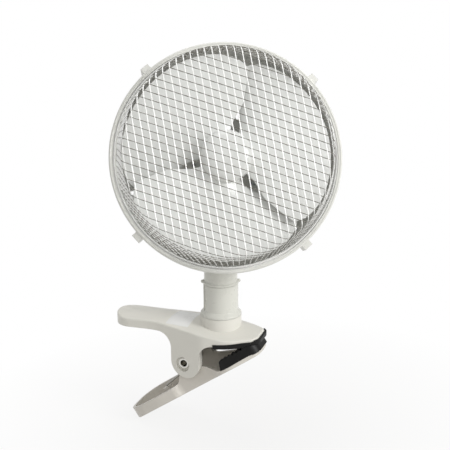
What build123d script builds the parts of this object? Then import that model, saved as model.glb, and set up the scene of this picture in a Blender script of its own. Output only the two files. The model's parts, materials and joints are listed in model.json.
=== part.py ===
"""Clip fan: a sprung two-jaw clip, a swivelling column and a tilting head behind a mesh grille.

Millimetres, +Z up. The origin is the grip line where the jaws' pads meet, +X runs out past the
jaw tips and the jaws' pivot lies along Y. The rest pose is the closed, empty clip, with the head
turned aside and tilted up.
"""
from build123d import *
from math import acos, asin, atan2, cos, degrees, hypot, pi, radians, sin, sqrt, tan
import os

os.makedirs("parts", exist_ok=True)

# Fits and clearances
RUNNING_FIT = 0.05        # radial gap of a shaft or pin that turns in its bore
SCREW_FIT = 0.05          # radial gap of a screw in its hole
SLIDE_GAP = 0.2           # gap between flat faces that turn past each other
EAR_PLAY = 0.3            # gap between the lower jaw's ears and the upper jaw's

# Jaws, measured from the pivot
JAW_REACH = 60.0          # pivot to the grip line, along X
JAW_DROP = 23.1           # pivot to the grip line, along Z
GRIP_GAP = 0.2            # rest gap between the two pads
GRIP_LENGTH = 4.0         # flat contact ahead of the grip line
SHELL_WALL = 2.8          # wall of both jaws
LEVER_REACH = 69.5        # pivot to the end of the upper lever
NOSE_REACH = 63.0         # pivot to the nose of the upper jaw
LEVER_HALF = 18.0         # half width of the upper lever near its end
LEVER_ROUND = 16.5        # plan radius of the lever's corners
WAIST_HALF = 16.0         # half width of the upper lever at its waist
WAIST_X = -30.0
SHOULDER_HALF = 26.5      # half width of the jaw where it is widest
SHOULDER_X = 18.0
CHEEK_HALF = 25.5         # half width where the jaw starts to taper to its nose
CHEEK_X = 40.0
NOSE_HALF = 12.5          # half width of the nose
NOSE_ROUND = 10.0
FLANK_ROUND = 30.0        # plan radius where the flanks change direction
CROWN_HEIGHT = 35.5       # pivot to the ridge of the crowned top face
CROWN_RADIUS = 60.0       # cross curvature of the top face
CROWN_BEND = 120.0        # radius of the bend where the top starts to fall to the nose
BEND_X = 20.0
NOSE_FALL = 7.0           # fall of the ridge from the bend to the nose
RIM_ROUND = 1.5           # rounding of the top face's edge
LEVER_DEPTH = 9.9         # ridge to the underside edge of the lever
LEVER_BLEND = 13.0        # radius from the lever's underside into the ear

# Pivot ears of the upper jaw
EAR_X = 2.2               # middle of the ear, along X
EAR_HALF = 13.8
EAR_DROP = 11.9           # pivot to the bottom of the ear
EAR_INNER = 17.6          # middle of the clip to the ears' inner faces
MOUTH_ROUND = 12.0        # radius from the ear's front edge into the mouth
MOUTH_HEIGHT = 20.9       # pivot to the ceiling of the mouth
COUNTERBORE = 6.5         # radius of the recess round the rivet
RIVET_SEAT = 19.4         # middle of the clip to the floor of the recess

# Pivot rivet
RIVET_RADIUS = 3.55
RIVET_BORE = 2.9
RIVET_HEAD = 4.8
RIVET_HEAD_THICKNESS = 0.9

# Lower jaw, along its own sloping axis
LOWER_SLOPE = 34.4        # degrees between the lower jaw and X
BASE_DEPTH = 26.0         # pivot to the lowest line of the base
BASE_RADIUS = 100.0       # cross curvature of the base
LOWER_LEVER_REACH = 76.0  # pivot to the end of the lower lever
TRAY_DEPTH = 14.0         # pivot to the rim of the lower lever
TRAY_ROUND = 18.5         # plan radius of the lower lever's corners
TRAY_HALF = 22.5          # half width of the lower lever near its end
TRAY_MID_HALF = 24.5
TRAY_MID_U = -40.0
TRAY_FRONT_U = -22.0      # where the lower lever starts to narrow to the ears
LOWER_EAR_U = -17.5
LOWER_FLARE_U = 15.0
LOWER_SHOULDER_U = 27.0
LOWER_SHOULDER_HALF = 25.5
LOWER_CHEEK_U = 37.0
LOWER_NOSE_REACH = 61.5
LOWER_EAR_RADIUS = 10.4
BASE_ROUND = 1.2

# Pads
PAD_WIDTH = 6.0           # width of the rubber strip
PAD_PROUD = 0.6           # how far it stands out past the jaw's flank
PAD_NOSE = 2.2            # how far it stands out past the jaw's nose
PAD_START_X = 28.6
PAD_LIP = 0.1             # how far the lower pad hangs over the edge it seats on
PAD_HEEL = (33.8, 9.0)    # where the teeth start, from the pivot
PAD_KNEE = (51.0, 19.9)   # where the teeth end
PAD_CEILING = 19.6        # pivot to the upper pad's underside at the mouth
PAD_BROW = (50.0, 20.8)   # where the upper pad's underside turns up to the grip
TOOTH_PITCH = 3.5
TOOTH_DEPTH = 1.5
TOOTH_COUNT = 6

# Torsion spring
WIRE_RADIUS = 1.0
COIL_RADIUS = 7.0
COIL_LENGTH = 13.0
COIL_TURNS = 4
COIL_STEPS = 18           # pieces of the coil, each a pair of tangent arcs
UPPER_LEG_X = -30.0       # where the upper leg presses, along X
LOWER_LEG_U = -47.0       # where the lower leg presses, along the lower jaw
SPRING_POST_DEPTH = 16.3  # pivot to the top of the post under the lower leg
SPRING_SEAT = 0.1         # rest gap between a leg and its seat
SEAT_SIZE = 7.0
SLOT_LENGTH = 12.0        # slot through the lower lever's floor
SLOT_WIDTH = 3.0
SLOT_U = -40.0

# Sticker on the upper lever
LABEL_LENGTH = 21.0
LABEL_WIDTH = 28.0
LABEL_THICKNESS = 0.15
LABEL_X = -6.0
LABEL_Y = -3.5
LABEL_TURN = -4.0

# Column
STEM_X = 27.0             # pivot to the column's axis
COLLAR_RADIUS = 17.5
COLLAR_TOP = 41.5         # pivot to the collar's rim
COLLAR_FOOT = 28.0        # pivot to the flat under the collar
SPIGOT_RADIUS = 12.2
STEM_RADIUS = 14.8
STEM_BORE = 9.4
STEM_TOP = 69.0
FLANGE_RADIUS = 17.4
FLANGE_HEIGHT = 1.6
FLANGE_FLARE = 3.0        # height of the flare from flange to stem
STEM_FLOOR = 4.0
GROOVE_WIDTH = 3.5
GROOVE_DEPTH = 0.8
GROOVE_ANGLE = -163.0     # round the column from the head's right-hand side
WASHER_RADIUS = 15.0
WASHER_THICKNESS = 1.5
SCREW_RADIUS = 1.6
SCREW_HEAD = 3.2
SCREW_HEAD_HEIGHT = 2.4
STEM_SCREW_LENGTH = 4.5

# Neck above the column
BEAD_RADIUS = 15.3
BEAD_HEIGHT = 2.8
NUB_RADIUS = 1.5
NUB_LIFT = 0.2            # bottom of a nub above the top of the stem
NECK_RADIUS = 14.0
NECK_TOP = 100.0
NECK_SHOULDER = 3.0
NECK_SPIGOT_RADIUS = 11.5
NECK_SPIGOT_HEIGHT = 10.0

# Tilt joint
TILT_HEIGHT = 118.0       # pivot of the jaws to the tilt axis
TONGUE_RADIUS = 10.0
TONGUE_THICKNESS = 8.0
CLEVIS_WALL = 5.0
CLEVIS_REAR = 18.0        # how far the clevis spreads back where it joins the cover
CLEVIS_FRONT = 10.0
TILT_BOLT_RADIUS = 2.5
TILT_HEAD_RADIUS = 5.0
TILT_HEAD_HEIGHT = 3.5
NUT_FLATS = 9.0
NUT_HEIGHT = 4.5

# Head: place, and depths along its own axis from the ring's middle plane
HEAD_PAN = 23.0           # degrees from -Y towards +X
HEAD_TILT = 19.0          # degrees up
HEAD_AHEAD = 30.0         # ring centre ahead of the column's axis
HEAD_ASIDE = 3.3          # ring centre to the right of the column's axis
HEAD_HEIGHT = 181.3       # ring centre above the jaws' pivot

# Retaining ring
RING_RADIUS = 90.0
RING_LIP = 87.0           # inner radius of the ring's front lip
RING_BACK = -7.0
RING_FRONT = 5.0
RING_WALL = 1.6
RING_LIP_THICKNESS = 2.4
LUG_REACH = 93.5
LUG_WIDTH = 7.0
LUG_BACK = -12.0
LUG_HOOK = 2.2
LUG_COUNT = 4
LUG_START = 41.0          # degrees round the head from its right-hand side

# Front grille
GRILLE_SHEET = 0.9
GRILLE_FLANGE = 88.0
SKIRT_FOOT = 86.0         # outer radius of the grille where it leaves the ring
SKIRT_TOP = 80.0
SKIRT_ROUND = 6.0
FACE_EDGE = 35.5          # depth of the face where it meets the skirt
FACE_TOP = 38.5           # depth of the face at its middle
MESH_SIDE = 9.0           # side of one rhombic gap, strand to strand
MESH_STRAND = 1.3
MESH_ANGLE_A = -19.5      # directions of the two families of strands
MESH_ANGLE_B = -82.0
MESH_MARGIN = 4.0         # solid rim left round the perforated face
MESH_LEAST = 0.3          # smallest cut-off gap kept, as a share of a whole one
SKIRT_GAPS = 48
SKIRT_ROWS = (10.0, 20.0)
SKIRT_GAP_WIDTH = 8.2
SKIRT_GAP_HEIGHT = 8.2

# Rear guard
GUARD_WALL = 2.0
GUARD_RIM = 86.6          # outer radius of the guard's rim
GUARD_FLANGE = 89.2
GUARD_FLANGE_THICKNESS = 2.2
GUARD_BEND = 60.0         # radius where the guard turns into its flat back
GUARD_BACK = -36.0
GUARD_KNEE = -14.0
GUARD_HOLE = 14.0
VENT_COUNT = 40
VENT_WIDTH = 3.4
VENT_INNER = 39.0
VENT_OUTER = 79.0

# Impeller
HUB_RADIUS = 20.0
HUB_BACK = -14.0
HUB_FRONT = 16.0
HUB_WALL = 2.5
HUB_BOSS = 6.0
BLADE_COUNT = 3
BLADE_TIP = 78.5
BLADE_SPAN = 112.0        # degrees of the disc that one blade covers
BLADE_THICKNESS = 2.0
BLADE_PITCH = 11.0        # degrees
BLADE_CAMBER = 220.0      # radius of the blade's curve
BLADE_AHEAD = 4.0         # crest of the blades ahead of the ring's middle plane
BLADE_START = 10.0
BLADE_ROUND = 12.0

# Motor cover
COVER_RADIUS = 34.0
COVER_WALL = 2.2
COVER_BACK = -84.0
COVER_ROUND = 5.0
COVER_SLOTS = 7
COVER_SLOT_PITCH = 5.0
COVER_SLOT_LENGTH = 22.0
COVER_SLOT_WIDTH = 2.2
COVER_SLOT_Y = -3.0
POST_RADIUS = 3.2
POST_CIRCLE = 29.0
POST_LENGTH = 9.0
POST_COUNT = 3
POST_START = 90.0

# Motor
SHAFT_RADIUS = 2.5
SHAFT_FRONT = 8.0
SHAFT_BACK = -75.0
CORE_RADIUS = 27.0
CORE_BORE = 12.0
CORE_FRONT = -50.0
CORE_LENGTH = 14.0
CORE_SLOTS = 4
CORE_SLOT_RADIUS = 3.6
CORE_SLOT_CIRCLE = 17.6
WINDING_OUTER = 21.2
WINDING_INNER = 14.0
WINDING_HEIGHT = 6.0
ROTOR_GAP = 0.4
BRACKET_WIDTH = 14.0
BRACKET_THICKNESS = 1.5
BRACKET_RISE = 7.5        # core face to the outside of the bracket's bridge
BRACKET_LEG = 4.6
BUSH_RADIUS = 4.5
BUSH_LENGTH = 6.0
MOTOR_SCREW_CIRCLE = 24.4
MOTOR_SCREW_RADIUS = 1.4
MOTOR_SCREW_HEAD = 2.6
MOTOR_SCREW_HEAD_HEIGHT = 2.0
MOTOR_POST_RADIUS = 4.0
MOTOR_POST_SINK = 2.0     # how far the motor screws reach into the guard's posts

# Switch and cable gland at the back
SWITCH_Y = 20.0
SWITCH_LENGTH = 15.0
SWITCH_WIDTH = 11.0
SWITCH_DEPTH = 12.0
SWITCH_BEZEL = 1.5
SWITCH_BEZEL_THICKNESS = 1.2
ROCKER_RADIUS = 6.0
ROCKER_WIDTH = 8.0
ROCKER_AXLE = 1.0
ROCKER_TIP = 1.0          # how far the axle stands out of the rocker's sides
ROCKER_TURN = 14.0        # degrees between on and off
GLAND_Y = -21.0
GLAND_RADIUS = 5.0
GLAND_BORE = 3.3
GLAND_FLANGE = 7.0
GLAND_FLANGE_THICKNESS = 2.0
GLAND_REACH = 9.0

# Worked-out places
CLIP_TALL = 4 * CROWN_HEIGHT
CLIP_WIDE = 2 * SHOULDER_HALF
GRIP_Z = JAW_DROP
PIN = Vector(-JAW_REACH, 0, -JAW_DROP)
CLIP_TOP = Plane(origin=PIN)
CLIP_SIDE = Plane(origin=PIN, x_dir=(1, 0, 0), z_dir=(0, -1, 0))
SLOPE = radians(LOWER_SLOPE)
LOWER_U = Vector(cos(SLOPE), 0, sin(SLOPE))
LOWER_V = Vector(-sin(SLOPE), 0, cos(SLOPE))
LOWER_SIDE = Plane(origin=PIN, x_dir=LOWER_U, z_dir=(0, -1, 0))
LOWER_TOP = Plane(origin=PIN, x_dir=LOWER_U, z_dir=LOWER_V)
LOWER_EAR_HALF = EAR_INNER - EAR_PLAY

PAN = radians(HEAD_PAN)
TILT = radians(HEAD_TILT)
AHEAD = Vector(sin(PAN), -cos(PAN), 0)
RIGHT = Vector(cos(PAN), sin(PAN), 0)
FORWARD = Vector(sin(PAN) * cos(TILT), -cos(PAN) * cos(TILT), sin(TILT))
STEM_FOOT = PIN + Vector(STEM_X, 0, 0)
COLUMN = Plane(origin=STEM_FOOT, x_dir=RIGHT, z_dir=(0, 0, 1))
COLUMN_SECTION = Plane(origin=STEM_FOOT, x_dir=RIGHT, z_dir=AHEAD)
COLUMN_AXIS = Axis(STEM_FOOT, (0, 0, 1))
TILT_POINT = STEM_FOOT + Vector(0, 0, TILT_HEIGHT)
TONGUE_SIDE = Plane(origin=TILT_POINT, x_dir=AHEAD, z_dir=-RIGHT)
HEAD_CENTRE = STEM_FOOT + AHEAD * HEAD_AHEAD + RIGHT * HEAD_ASIDE + Vector(0, 0, HEAD_HEIGHT)
HEAD = Plane(origin=HEAD_CENTRE, x_dir=RIGHT, z_dir=FORWARD)
HEAD_UP = HEAD.y_dir
HEAD_SECTION = Plane(origin=HEAD_CENTRE, x_dir=RIGHT, z_dir=-HEAD_UP)
HEAD_AXIS = Axis(HEAD_CENTRE, FORWARD)
CLEVIS_SIDE = Plane(origin=TILT_POINT, x_dir=FORWARD, z_dir=-RIGHT)
CLEVIS_RISE = (HEAD_CENTRE - TILT_POINT).dot(HEAD_UP)


def finish(piece, name):
    """Label a finished piece and write it out."""
    piece.part.label = name
    export_step(piece.part, f"parts/{name}.step")


def rounded_face(corners):
    """Face inside a closed outline of (x, y, radius) corners."""
    with BuildSketch() as face:
        with BuildLine():
            FilletPolyline(*[(x, y) for x, y, radius in corners], radius=[c[2] for c in corners], close=True)
        make_face()
    return face.sketch


def mirrored_face(half):
    """Face inside a half outline of (x, y, radius) corners and its mirror image."""
    return rounded_face(half + [(x, -y, radius) for x, y, radius in reversed(half)])


# ---------------------------------------------------------------- upper jaw

def upper_plan(proud, nose=0.0):
    """Plan of the upper jaw, grown by a margin all round and by a second one at the nose."""
    return mirrored_face([
        (-LEVER_REACH - proud, LEVER_HALF + proud, LEVER_ROUND + proud),
        (WAIST_X, WAIST_HALF + proud, 2 * FLANK_ROUND),
        (SHOULDER_X, SHOULDER_HALF + proud, FLANK_ROUND),
        (CHEEK_X, CHEEK_HALF + proud, FLANK_ROUND),
        (NOSE_REACH + proud + nose, NOSE_HALF + proud, NOSE_ROUND + proud),
    ])


def crown(depth):
    """Everything below the crowned top face, or below a surface a given depth under it."""
    width = 1.3 * SHOULDER_HALF
    radius = CROWN_RADIUS - depth
    sag = radius - sqrt(radius ** 2 - width ** 2)
    tail = 1.2 * LEVER_REACH
    slope = NOSE_FALL / (NOSE_REACH - BEND_X)
    tip = 1.3 * NOSE_REACH
    with BuildPart() as block:
        with BuildLine(CLIP_SIDE) as line:
            FilletPolyline(
                (-tail, CROWN_HEIGHT - depth),
                (BEND_X, CROWN_HEIGHT - depth),
                (tip, CROWN_HEIGHT - depth - slope * (tip - BEND_X)),
                radius=CROWN_BEND,
            )
        ridge = line.wire()
        with BuildSketch(Plane(origin=ridge @ 0, x_dir=(0, 1, 0), z_dir=ridge % 0)):
            with BuildLine():
                ThreePointArc((width, -sag), (0, 0), (-width, -sag))
                Polyline((-width, -sag), (-width, -CLIP_TALL / 2), (width, -CLIP_TALL / 2), (width, -sag))
            make_face()
        sweep(path=ridge)
    return block.part


def upper_lip():
    """Corners of the step that the upper pad seats against, from the mouth to the nose."""
    return [(PAD_START_X, 23.0, 0), (52.0, 24.9, 8), (NOSE_REACH + 4, 25.3, 0)]


def upper_profile():
    """Side view of the upper jaw: lever, ear, mouth and pad seat."""
    underside = CROWN_HEIGHT - LEVER_DEPTH
    ear_round = EAR_HALF - 0.1
    top = CROWN_HEIGHT + LEVER_DEPTH
    return rounded_face([
        (-LEVER_REACH - 4, top, 0),
        (-LEVER_REACH - 4, underside, 0),
        (EAR_X - EAR_HALF, underside, LEVER_BLEND),
        (EAR_X - EAR_HALF, -EAR_DROP, ear_round),
        (EAR_X + EAR_HALF, -EAR_DROP, ear_round),
        (EAR_X + EAR_HALF, MOUTH_HEIGHT, MOUTH_ROUND - 0.1),
        (PAD_START_X, MOUTH_HEIGHT, 0),
        *upper_lip(),
        (NOSE_REACH + 4, top, 0),
    ])


CROWN_OUTER = crown(0)
CROWN_INNER = crown(SHELL_WALL)

with BuildPart() as upper_hollow:
    with BuildSketch(CLIP_TOP):
        add(upper_plan(-SHELL_WALL))
    extrude(amount=CLIP_TALL, both=True)
    add(CROWN_INNER, mode=Mode.INTERSECT)
    for side in (-1, 1):
        with BuildSketch(CLIP_SIDE.offset(side * EAR_INNER)):
            with Locations((EAR_X, 0)):
                Rectangle(2 * EAR_HALF, 2 * CLIP_TALL)
        extrude(amount=side * CLIP_WIDE, mode=Mode.SUBTRACT)

with BuildPart() as upper_jaw:
    with BuildSketch(CLIP_TOP):
        add(upper_plan(0))
    extrude(amount=CLIP_TALL, both=True)
    add(CROWN_OUTER, mode=Mode.INTERSECT)
    crown_faces = [face for face in upper_jaw.faces() if face.normal_at().Z > 0.8]
    crown_edges = [edge for face in crown_faces for edge in face.edges()]
    rim = [edge for edge in crown_edges if sum(edge.is_same(other) for other in crown_edges) == 1]
    fillet(rim, radius=RIM_ROUND)
    with BuildSketch(CLIP_SIDE):
        add(upper_profile())
    extrude(amount=CLIP_WIDE, both=True, mode=Mode.INTERSECT)
    add(upper_hollow.part, mode=Mode.SUBTRACT)
    with BuildSketch(CLIP_TOP.offset(COLLAR_FOOT)):
        with Locations((STEM_X, 0)):
            Circle(COLLAR_RADIUS)
    extrude(amount=COLLAR_TOP - COLLAR_FOOT)
    with BuildSketch(CLIP_TOP.offset(COLLAR_FOOT - 1)):
        with Locations((STEM_X, 0)):
            Circle(SPIGOT_RADIUS + RUNNING_FIT)
    extrude(amount=COLLAR_TOP, mode=Mode.SUBTRACT)
    with BuildSketch(CLIP_SIDE):
        Circle(RIVET_RADIUS + RUNNING_FIT)
    extrude(amount=CLIP_WIDE, both=True, mode=Mode.SUBTRACT)
    for side in (-1, 1):
        with BuildSketch(CLIP_SIDE.offset(side * RIVET_SEAT)):
            Circle(COUNTERBORE)
        extrude(amount=side * CLIP_WIDE, mode=Mode.SUBTRACT)
finish(upper_jaw, "upper_jaw")


# ---------------------------------------------------------------- lower jaw

def lower_point(x, z):
    """Coordinates along and across the lower jaw of a point given from the pivot."""
    return x * cos(SLOPE) + z * sin(SLOPE), -x * sin(SLOPE) + z * cos(SLOPE)


def lower_plan(proud, nose=0.0):
    """Plan of the lower jaw, grown by a margin all round and by a second one at the nose."""
    return mirrored_face([
        (-LOWER_LEVER_REACH - proud, TRAY_HALF + proud, TRAY_ROUND + proud),
        (TRAY_MID_U, TRAY_MID_HALF + proud, 2 * FLANK_ROUND),
        (TRAY_FRONT_U, TRAY_HALF + proud, 6),
        (LOWER_EAR_U, LOWER_EAR_HALF + proud, 6),
        (LOWER_FLARE_U, LOWER_EAR_HALF + proud, 8),
        (LOWER_SHOULDER_U, LOWER_SHOULDER_HALF + proud, 8),
        (LOWER_CHEEK_U, LOWER_SHOULDER_HALF + proud, FLANK_ROUND / 2),
        (LOWER_NOSE_REACH + proud + nose, NOSE_HALF + proud, NOSE_ROUND + proud),
    ])


def base(depth):
    """Everything above the lower jaw's curved base, or above a surface a given depth inside it."""
    width = 1.3 * SHOULDER_HALF
    radius = BASE_RADIUS - depth
    sag = radius - sqrt(radius ** 2 - width ** 2)
    low = depth - BASE_DEPTH
    with BuildPart() as block:
        with BuildSketch(Plane(origin=PIN - LOWER_U * 1.3 * LOWER_LEVER_REACH, x_dir=(0, 1, 0), z_dir=LOWER_U)):
            with BuildLine():
                ThreePointArc((-width, low + sag), (0, low), (width, low + sag))
                Polyline((width, low + sag), (width, CLIP_TALL / 2), (-width, CLIP_TALL / 2), (-width, low + sag))
            make_face()
        extrude(amount=2.6 * LOWER_LEVER_REACH)
    return block.part


def lower_lip():
    """Corners of the edge that the lower pad seats on, from the nose back to the mouth."""
    return [(LOWER_NOSE_REACH + 4, -21.9, 0), (56.0, -21.2, 6), (49.0, -20.6, 8), (29.2, -19.6, 3)]


def lower_profile():
    """Side view of the lower jaw: base, pad seat, front wall, ears and the lever's rim."""
    ear = LOWER_EAR_RADIUS
    return rounded_face([
        (-LOWER_LEVER_REACH - 4, -BASE_DEPTH - 4, 0),
        (LOWER_NOSE_REACH + 4, -BASE_DEPTH - 4, 0),
        *lower_lip(),
        (25.0, -18.3, 4),
        (ear, -9.4, 2),
        (ear, ear, ear - 0.1),
        (-ear, ear, ear - 0.1),
        (-ear, -6.0, 4),
        (LOWER_EAR_U, -TRAY_DEPTH, 2),
        (-LOWER_LEVER_REACH - 4, -TRAY_DEPTH, 0),
    ])


BASE_OUTER = base(0)
BASE_INNER = base(SHELL_WALL)

with BuildPart() as lower_hollow:
    with BuildSketch(LOWER_TOP):
        add(lower_plan(-SHELL_WALL))
    extrude(amount=CLIP_TALL, both=True)
    add(BASE_INNER, mode=Mode.INTERSECT)

with BuildPart() as lower_jaw:
    with BuildSketch(LOWER_TOP):
        add(lower_plan(0))
    extrude(amount=CLIP_TALL, both=True)
    add(BASE_OUTER, mode=Mode.INTERSECT)
    underside = lower_jaw.faces().sort_by(Axis(PIN, LOWER_V))[0]
    fillet(underside.edges(), radius=BASE_ROUND)
    with BuildSketch(LOWER_SIDE):
        add(lower_profile())
    extrude(amount=CLIP_WIDE, both=True, mode=Mode.INTERSECT)
    add(lower_hollow.part, mode=Mode.SUBTRACT)
    with BuildSketch(LOWER_TOP.offset(-BASE_DEPTH + SHELL_WALL / 2)):
        with Locations((LOWER_LEG_U, COIL_LENGTH / 2 + 3)):
            Rectangle(SEAT_SIZE, SEAT_SIZE)
    extrude(amount=BASE_DEPTH - SHELL_WALL / 2 - SPRING_POST_DEPTH)
    with BuildSketch(LOWER_TOP.offset(-BASE_DEPTH - 1)):
        with Locations((SLOT_U, -2)):
            SlotOverall(SLOT_LENGTH, SLOT_WIDTH, rotation=90)
    extrude(amount=SHELL_WALL + 4, mode=Mode.SUBTRACT)
    with BuildSketch(CLIP_SIDE):
        Circle(RIVET_RADIUS + RUNNING_FIT)
    extrude(amount=CLIP_WIDE, both=True, mode=Mode.SUBTRACT)
finish(lower_jaw, "lower_jaw")


# ---------------------------------------------------------------- pads

with BuildPart() as upper_pad:
    with BuildSketch(CLIP_TOP):
        add(upper_plan(PAD_PROUD, PAD_NOSE - PAD_PROUD))
    extrude(amount=CLIP_TALL, both=True)
    with BuildSketch(CLIP_TOP):
        add(upper_plan(-PAD_WIDTH))
    extrude(amount=CLIP_TALL, both=True, mode=Mode.SUBTRACT)
    with BuildSketch(CLIP_SIDE):
        add(rounded_face([
            (PAD_START_X, PAD_CEILING, 1),
            (*PAD_BROW, 8),
            (JAW_REACH - 2, GRIP_Z + GRIP_GAP / 2, 6),
            (JAW_REACH + GRIP_LENGTH + 2, GRIP_Z + GRIP_GAP / 2, 0),
            (JAW_REACH + GRIP_LENGTH + 2, 26.6, 0),
            (NOSE_REACH - 2, 26.6, 0),
            (NOSE_REACH - 2, 25.0, 0),
            *reversed(upper_lip()[:2]),
        ]))
    extrude(amount=CLIP_WIDE, both=True, mode=Mode.INTERSECT)
    add(upper_jaw.part, mode=Mode.SUBTRACT)
finish(upper_pad, "upper_pad")


def lower_pad_profile():
    """Side view of the lower pad, with its flat grip line and the fall to the mouth."""
    grip = GRIP_Z - GRIP_GAP / 2
    tip_u, tip_v = lower_point(JAW_REACH + GRIP_LENGTH, grip)
    flat_u, flat_v = lower_point(JAW_REACH - 1, grip)
    knee_u, knee_v = lower_point(*PAD_KNEE)
    rear_u, rear_v = lower_point(*PAD_HEEL)
    edge = [(u, v - PAD_LIP, radius) for u, v, radius in reversed(lower_lip()[1:3])]
    return rounded_face([
        (29.4, -19.6 - PAD_LIP, 0),
        (rear_u, rear_v, 2),
        (knee_u, knee_v, 20),
        (flat_u, flat_v, 4),
        (tip_u, tip_v, 1),
        (tip_u - 1, -23.2, 2),
        (LOWER_NOSE_REACH - 1.5, -22.8, 0.5),
        *reversed(edge),
    ])


with BuildPart() as lower_pad:
    with BuildSketch(LOWER_TOP):
        add(lower_plan(PAD_PROUD, PAD_NOSE - PAD_PROUD))
    extrude(amount=CLIP_TALL, both=True)
    with BuildSketch(LOWER_TOP):
        add(lower_plan(-PAD_WIDTH))
    extrude(amount=CLIP_TALL, both=True, mode=Mode.SUBTRACT)
    with BuildSketch(LOWER_SIDE):
        add(lower_pad_profile())
    extrude(amount=CLIP_WIDE, both=True, mode=Mode.INTERSECT)
    tooth_u, tooth_v = lower_point(*PAD_HEEL)
    end_u, end_v = lower_point(*PAD_KNEE)
    run = hypot(end_u - tooth_u, end_v - tooth_v)
    along = Vector(end_u - tooth_u, end_v - tooth_v) * (1 / run)
    with BuildSketch(LOWER_SIDE):
        for index in range(TOOTH_COUNT):
            start = Vector(tooth_u, tooth_v) + along * (TOOTH_PITCH * index)
            with BuildLine():
                Polyline(
                    start,
                    start + along * TOOTH_PITCH,
                    start + along * TOOTH_PITCH / 2 + Vector(along.Y, -along.X) * TOOTH_DEPTH,
                    close=True,
                )
            make_face()
    extrude(amount=LOWER_SHOULDER_HALF - PAD_WIDTH / 2, both=True, mode=Mode.SUBTRACT)
    add(lower_jaw.part, mode=Mode.SUBTRACT)
finish(lower_pad, "lower_pad")


# ---------------------------------------------------------------- pivot rivet and spring

with BuildPart() as pivot_rivet:
    with BuildSketch(CLIP_SIDE):
        Circle(RIVET_RADIUS)
    extrude(amount=RIVET_SEAT, both=True)
    for side in (-1, 1):
        with BuildSketch(CLIP_SIDE.offset(side * RIVET_SEAT)):
            Circle(RIVET_HEAD)
        extrude(amount=side * RIVET_HEAD_THICKNESS)
    with BuildSketch(CLIP_SIDE):
        Circle(RIVET_BORE)
    extrude(amount=CLIP_WIDE, both=True, mode=Mode.SUBTRACT)
    outer = [edge for edge in pivot_rivet.edges() if abs(edge.center().Y) > RIVET_SEAT + 0.1]
    fillet(outer, radius=RIVET_HEAD_THICKNESS / 2 - 0.05)
finish(pivot_rivet, "pivot_rivet")


def spring_point(angle, advance):
    """Point of the coil at an angle in the clip's side view, and a distance along Y."""
    return PIN + Vector(COIL_RADIUS * cos(angle), advance, COIL_RADIUS * sin(angle))


def leg_angle(x, z, incoming):
    """Direction of a leg that ends at a point and is tangent to the coil, wound clockwise."""
    spread = asin(COIL_RADIUS / hypot(x, z))
    heading = atan2(z, x)
    return heading - pi + spread if incoming else heading - spread


leg_y = COIL_LENGTH / 2 + 3
roof = CROWN_HEIGHT - SHELL_WALL - (leg_y ** 2) / (2 * CROWN_RADIUS)
upper_end = (UPPER_LEG_X, roof - WIRE_RADIUS - SPRING_SEAT)
post_v = -SPRING_POST_DEPTH + WIRE_RADIUS + SPRING_SEAT
lower_end = (
    LOWER_LEG_U * cos(SLOPE) - post_v * sin(SLOPE),
    LOWER_LEG_U * sin(SLOPE) + post_v * cos(SLOPE),
)
heading_in = leg_angle(*upper_end, True)
heading_out = leg_angle(*lower_end, False)
turned = (heading_in - heading_out) % (2 * pi) + 2 * pi * COIL_TURNS
rate = COIL_LENGTH / turned
step = turned / COIL_STEPS

joints = []
for index in range(COIL_STEPS + 1):
    turn = heading_in + pi / 2 - step * index
    place = spring_point(turn, rate * step * index - COIL_LENGTH / 2)
    heading = Vector(COIL_RADIUS * sin(turn), rate, -COIL_RADIUS * cos(turn)).normalized()
    joints.append((place, heading))


def biarc(first, second):
    """The two tangent arcs that join two places with given headings."""
    (start, leaving), (end, arriving) = first, second
    chord = end - start
    both = leaving + arriving
    a = both.dot(both) - 4
    b = -2 * chord.dot(both)
    c = chord.dot(chord)
    reach = (-b - sqrt(b ** 2 - 4 * a * c)) / (2 * a)
    if reach < 0:
        reach = (-b + sqrt(b ** 2 - 4 * a * c)) / (2 * a)
    near = start + leaving * reach
    far = end - arriving * reach
    middle = (near + far) * 0.5
    TangentArc(start, middle, tangent=leaving)
    TangentArc(middle, end, tangent=far - near)


leg_in = sqrt(hypot(*upper_end) ** 2 - COIL_RADIUS ** 2)
leg_out = sqrt(hypot(*lower_end) ** 2 - COIL_RADIUS ** 2)
with BuildPart() as torsion_spring:
    with BuildLine() as line:
        first_place, first_heading = joints[0]
        last_place, last_heading = joints[-1]
        Line(first_place - first_heading * leg_in, first_place)
        for index in range(COIL_STEPS):
            biarc(joints[index], joints[index + 1])
        Line(last_place, last_place + last_heading * leg_out)
    wire = line.wire()
    with BuildSketch(Plane(origin=wire @ 0, z_dir=wire % 0)):
        Circle(WIRE_RADIUS)
    sweep(path=wire)
finish(torsion_spring, "torsion_spring")

samples = 40 * COIL_STEPS
points = [wire @ (index / samples) for index in range(samples + 1)]
spacing = wire.length / samples
apart = int(pi * COIL_RADIUS / spacing)
least = min(
    (points[i] - points[j]).length
    for i in range(samples + 1)
    for j in range(i + apart, samples + 1)
)
print(f"torsion spring: least gap to itself {least - 2 * WIRE_RADIUS:.2f} mm")


# ---------------------------------------------------------------- sticker

with BuildPart() as lever_label:
    with BuildSketch(CLIP_TOP):
        with Locations((LABEL_X, LABEL_Y)):
            Rectangle(LABEL_LENGTH, LABEL_WIDTH, rotation=LABEL_TURN)
    extrude(amount=CLIP_TALL)
    add(CROWN_OUTER.moved(Location((0, 0, LABEL_THICKNESS))), mode=Mode.INTERSECT)
    add(CROWN_OUTER, mode=Mode.SUBTRACT)
finish(lever_label, "lever_label")


# ---------------------------------------------------------------- column

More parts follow.
